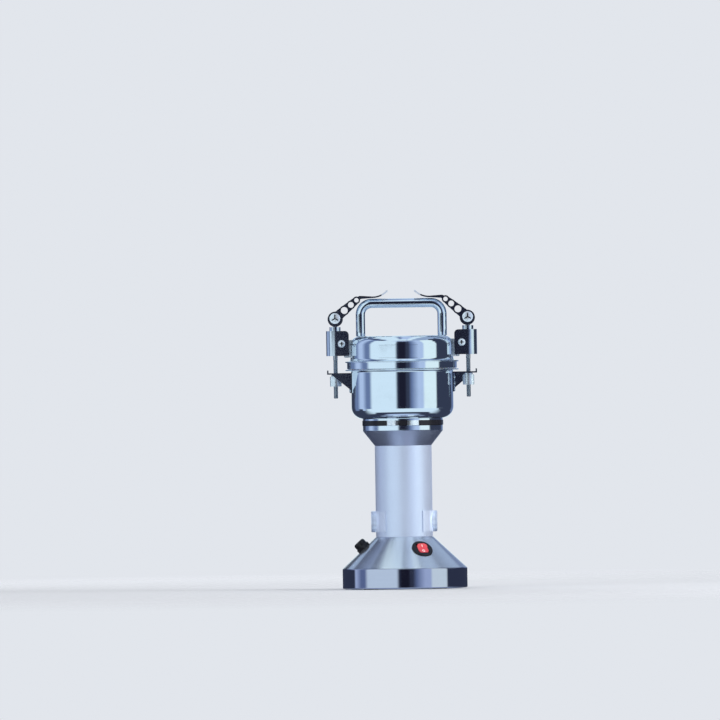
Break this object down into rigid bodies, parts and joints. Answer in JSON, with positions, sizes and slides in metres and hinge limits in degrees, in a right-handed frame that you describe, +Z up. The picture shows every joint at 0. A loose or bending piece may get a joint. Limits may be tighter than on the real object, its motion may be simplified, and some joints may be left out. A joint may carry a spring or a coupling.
{
  "type": "electric spice grinder",
  "caption": "Upright motor-driven spice grinder with a polished bowl, a clamped lid with a bar handle, a slim motor column and a conical base with a rocker switch.",
  "frame": {"origin": "on the worktop, under the middle of the round base", "axes": "+Z up along the motor shaft, -Y towards the front where the switch is, +X to the right seen from the front"},
  "size_m": [0.162, 0.134, 0.3208],
  "materials": {
    "polished_steel": "polished",
    "mirror_steel": "mirror polished",
    "satin_silver": "satin silver",
    "grey_casting": "satin grey",
    "plated_steel": "bright plated",
    "bright_screw": "bright plated",
    "zinc_sheet": "zinc plated",
    "blade_steel": "ground",
    "bearing_steel": "ground",
    "cast_aluminium": "as cast",
    "laminated_iron": "stacked sheet",
    "copper": "enamelled copper",
    "brass_terminal": "bright",
    "carbon": "pressed carbon",
    "black_plastic": "moulded",
    "red_plastic": "glossy",
    "wire_sleeve": "extruded",
    "black_rubber": "matt",
    "clear_silicone": "translucent white"
  },
  "bodies": {
    "base": {"base_skirt": "polished_steel", "base_plate": "zinc_sheet", "rubber_feet": "black_rubber", "housing_screws": "bright_screw", "base_cone": "satin_silver", "switch_housing": "black_plastic", "switch_terminals": "brass_terminal", "cord_gland": "black_plastic", "gland_locknut": "black_plastic", "terminal_block": "black_plastic", "lead_wires": "wire_sleeve", "motor_column": "satin_silver", "brush_bosses": "satin_silver", "brush_caps": "satin_silver", "brush_holders": "brass_terminal", "carbon_brushes": "carbon", "brush_springs": "bright_screw", "stator_core": "laminated_iron", "stator_windings": "copper", "lower_bracket": "cast_aluminium", "upper_bracket": "cast_aluminium", "shaft_bearings": "bearing_steel", "funnel_housing": "grey_casting", "clamp_flange": "polished_steel", "insulator_ring": "black_plastic", "mount_nuts": "bright_screw", "bowl_plate": "polished_steel", "grinding_bowl": "mirror_steel", "shaft_seal": "black_rubber", "left_fork_bracket": "plated_steel", "right_fork_bracket": "plated_steel", "bracket_rivets": "bright_screw"},
    "rotor": {"motor_shaft": "bearing_steel", "armature_core": "laminated_iron", "armature_windings": "copper", "commutator": "copper", "cooling_fan": "black_plastic", "blade_spacers": "bearing_steel", "lower_blade": "blade_steel", "upper_blade": "blade_steel", "blade_nut": "bright_screw"},
    "rocker": {"switch_rocker": "red_plastic"},
    "lid_group": {"lid": "mirror_steel", "lid_gasket": "clear_silicone", "lid_handle": "mirror_steel", "handle_screws": "bright_screw", "lid_lugs": "plated_steel", "pivot_screws": "bright_screw"},
    "left_block": {"left_clamp_block": "plated_steel", "left_guide_sleeve": "plated_steel"},
    "left_rod": {"left_clamp_rod": "plated_steel", "left_clamp_barrel": "plated_steel"},
    "left_lever": {"left_clamp_lever": "plated_steel"},
    "left_nut": {"left_adjusting_nut": "plated_steel"},
    "right_block": {"right_clamp_block": "plated_steel", "right_guide_sleeve": "plated_steel"},
    "right_rod": {"right_clamp_rod": "plated_steel", "right_clamp_barrel": "plated_steel"},
    "right_lever": {"right_clamp_lever": "plated_steel"},
    "right_nut": {"right_adjusting_nut": "plated_steel"}
  },
  "joints": [
    {"name": "rotor_spin", "type": "hinge", "parent": "base", "child": "rotor", "pos_m": [0, 0, 0.1904], "axis": [0, 0, 1], "continuous": true},
    {"name": "switch_rock", "type": "hinge", "parent": "base", "child": "rocker", "pos_m": [0.01825, -0.03931, 0.0414], "axis": [-0.907, -0.421, 0], "range_deg": [0, 16]},
    {"name": "lid_lift", "type": "slide", "parent": "base", "child": "lid_group", "axis": [0, 0, 1], "range_m": [0, 0.12]},
    {"name": "left_block_swing", "type": "hinge", "parent": "lid_group", "child": "left_block", "pos_m": [-0.0645, 0, 0.264], "axis": [0, 1, 0], "range_deg": [0, 22]},
    {"name": "left_rod_drop", "type": "slide", "parent": "left_block", "child": "left_rod", "axis": [0, 0, -1], "range_m": [0, 0.0015]},
    {"name": "left_lever_swing", "type": "hinge", "parent": "left_rod", "child": "left_lever", "pos_m": [-0.0713, 0, 0.2913], "axis": [0, -1, 0], "range_deg": [0, 130]},
    {"name": "left_nut_turn", "type": "hinge", "parent": "left_rod", "child": "left_nut", "pos_m": [-0.0713, 0, 0.2236], "axis": [0, 0, 1], "continuous": true},
    {"name": "right_block_swing", "type": "hinge", "parent": "lid_group", "child": "right_block", "pos_m": [0.0645, 0, 0.264], "axis": [0, -1, 0], "range_deg": [0, 22]},
    {"name": "right_rod_drop", "type": "slide", "parent": "right_block", "child": "right_rod", "axis": [0, 0, -1], "range_m": [0, 0.0015]},
    {"name": "right_lever_swing", "type": "hinge", "parent": "right_rod", "child": "right_lever", "pos_m": [0.0713, 0, 0.2913], "axis": [0, 1, 0], "range_deg": [0, 130]},
    {"name": "right_nut_turn", "type": "hinge", "parent": "right_rod", "child": "right_nut", "pos_m": [0.0713, 0, 0.2236], "axis": [0, 0, 1], "continuous": true}
  ],
  "couplings": [
    {"joint": "left_block_swing", "follows": "left_rod_drop", "rad_per_m": 255.98},
    {"joint": "left_lever_swing", "follows": "left_rod_drop", "rad_per_m": 1512.6},
    {"joint": "right_block_swing", "follows": "right_rod_drop", "rad_per_m": 255.98},
    {"joint": "right_lever_swing", "follows": "right_rod_drop", "rad_per_m": 1512.6}
  ]
}
